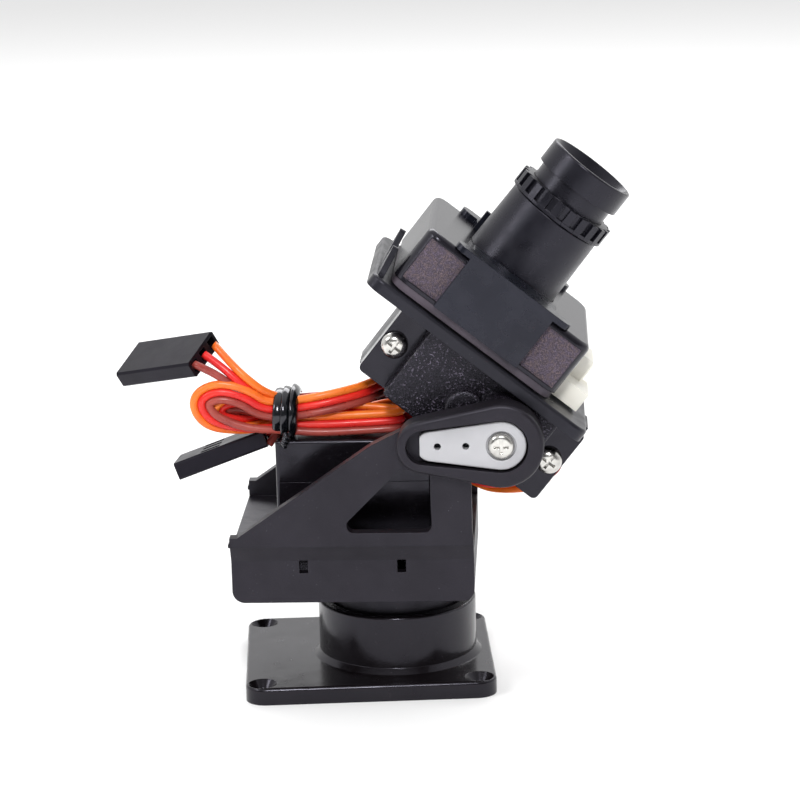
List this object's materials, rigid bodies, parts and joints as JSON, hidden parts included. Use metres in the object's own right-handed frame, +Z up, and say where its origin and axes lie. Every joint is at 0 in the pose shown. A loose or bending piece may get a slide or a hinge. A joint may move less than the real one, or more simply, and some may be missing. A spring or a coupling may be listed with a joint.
{
  "type": "pan tilt camera mount",
  "caption": "Two axis servo mount: square foot with a collar, slotted yoke, tilting frame and a small board camera with a screw focus lens and tied leads.",
  "frame": {"origin": "centre of the base plate's underside, midway between its four screw holes", "axes": "+Z up along the pan axis, +X the way the camera looks, +Y towards the tilt frame's far pivot"},
  "size_m": [0.0751, 0.038, 0.079],
  "materials": {
    "nylon_black": "satin moulded nylon",
    "servo_case_smoke": "gloss",
    "servo_cap_black": "gloss",
    "horn_grey": "satin",
    "steel": "bright plated",
    "gear_plastic": "satin",
    "circuit_green": "solder mask",
    "component_black": "matt",
    "rubber_black": "matt",
    "lead_orange": "satin insulation",
    "plug_black": "satin",
    "contact_gold": "plated",
    "foam": "foam",
    "camera_black": "fine texture",
    "socket_white": "gloss",
    "lens_black": "anodised",
    "lens_glass": "coated"
  },
  "bodies": {
    "base": {"base_plate": "nylon_black", "pan_horn": "horn_grey", "base_horn_screws": "steel", "pan_horn_screw": "steel", "pan_servo_output_shaft": "gear_plastic"},
    "yoke": {"yoke_near_half": "nylon_black", "yoke_far_half": "nylon_black", "yoke_clamp_screws": "steel", "pan_servo_bottom_cover": "servo_case_smoke", "pan_servo_case": "servo_case_smoke", "pan_servo_gear_cap": "servo_cap_black", "pan_servo_case_screws": "steel", "pan_servo_motor": "steel", "pan_servo_circuit": "circuit_green", "pan_servo_potentiometer": "component_black", "pan_servo_lead_grommet": "rubber_black", "tilt_servo_output_shaft": "gear_plastic", "tilt_horn": "horn_grey", "tilt_horn_screw": "steel", "pan_lead_run": "lead_orange", "pan_lead_tail": "lead_orange", "tilt_lead_slack": "lead_orange", "tilt_lead_run": "lead_orange", "tilt_lead_tail": "lead_orange", "lead_hank": "lead_orange", "lead_tie": "rubber_black", "tilt_lead_plug": "plug_black", "pan_lead_plug": "plug_black", "plug_contacts": "contact_gold"},
    "head": {"tilt_frame": "nylon_black", "servo_tab_screws": "steel", "far_pivot_screw": "steel", "tilt_servo_bottom_cover": "servo_case_smoke", "tilt_servo_case": "servo_case_smoke", "tilt_servo_gear_cap": "servo_cap_black", "tilt_servo_case_screws": "steel", "tilt_servo_motor": "steel", "tilt_servo_circuit": "circuit_green", "tilt_servo_potentiometer": "component_black", "tilt_servo_lead_grommet": "rubber_black", "camera_pad": "foam", "camera_back_cover": "camera_black", "camera_housing": "camera_black", "camera_board": "circuit_green", "image_sensor": "component_black", "lens_holder": "camera_black", "camera_socket": "socket_white", "camera_side_plug": "plug_black", "camera_clip_near": "camera_black", "camera_clip_far": "camera_black"},
    "lock_ring": {"lens_lock_ring": "lens_black"},
    "lens_slide": {"lens_elements": "lens_glass"},
    "lens": {"lens_barrel": "lens_black"}
  },
  "joints": [
    {"name": "pan", "type": "hinge", "parent": "base", "child": "yoke", "pos_m": [0.0044, 0, 0], "axis": [0, 0, 1], "range_deg": [-90, 90]},
    {"name": "tilt", "type": "hinge", "parent": "yoke", "child": "head", "pos_m": [0.02055, -0.00127, 0.0386], "axis": [0.0785, 0.9969, 0], "range_deg": [-6, 55], "deforming": ["tilt_lead_slack"]},
    {"name": "lock_ring_turn", "type": "hinge", "parent": "head", "child": "lock_ring", "pos_m": [0.02981, -0.002, 0.06955], "axis": [0.6206, -0.0488, 0.7826], "range_deg": [-180, 180]},
    {"name": "focus_slide", "type": "slide", "parent": "head", "child": "lens_slide", "axis": [0.6206, -0.0488, 0.7826], "range_m": [-0.0005, 0.0005]},
    {"name": "focus_turn", "type": "hinge", "parent": "lens_slide", "child": "lens", "pos_m": [0.02981, -0.002, 0.06955], "axis": [0.6206, -0.0488, 0.7826], "range_deg": [-360, 360]}
  ],
  "couplings": [
    {"joint": "focus_turn", "follows": "focus_slide", "rad_per_m": 12566}
  ]
}
